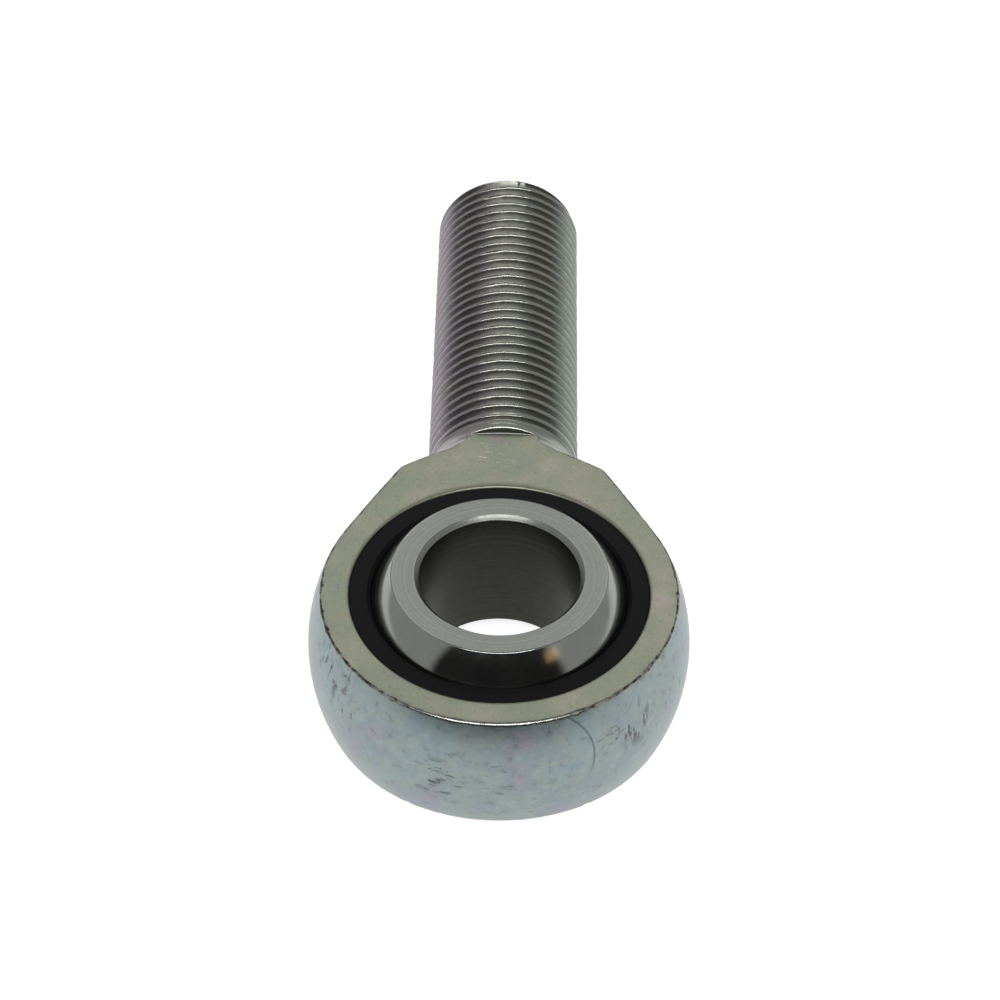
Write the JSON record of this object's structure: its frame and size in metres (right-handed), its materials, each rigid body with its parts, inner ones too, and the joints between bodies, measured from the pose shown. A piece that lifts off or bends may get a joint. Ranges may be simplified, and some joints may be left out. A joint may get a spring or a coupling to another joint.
{
  "type": "rod end bearing",
  "caption": "Male rod end bearing: threaded shank carrying an eye with a plastic-lined swivelling steel ball.",
  "frame": {"origin": "centre of the ball, on the shank's axis", "axes": "+Z along the ball's bore, towards the ball's tall side; +Y along the shank, towards its threaded end"},
  "size_m": [0.038, 0.0845, 0.0174],
  "materials": {
    "zinc_plated_steel": "satin, zinc plated with a faint yellow-green passivate",
    "black_race_plastic": "matte moulded nylon",
    "plated_ball_steel": "polished sphere, fine-turned faces"
  },
  "bodies": {
    "rod_end_body": {"rod_end_body": "zinc_plated_steel"},
    "race": {"race": "black_race_plastic"},
    "ball": {"ball": "plated_ball_steel"}
  },
  "joints": [
    {"name": "ball_swivel", "type": "hinge", "parent": "rod_end_body", "child": "race", "pos_m": [0, 0, 0], "axis": [0, 0, 1], "continuous": true},
    {"name": "ball_tilt", "type": "hinge", "parent": "race", "child": "ball", "pos_m": [0, 0, 0], "axis": [0, 1, 0], "range_deg": [-11.5, 11.5]}
  ]
}
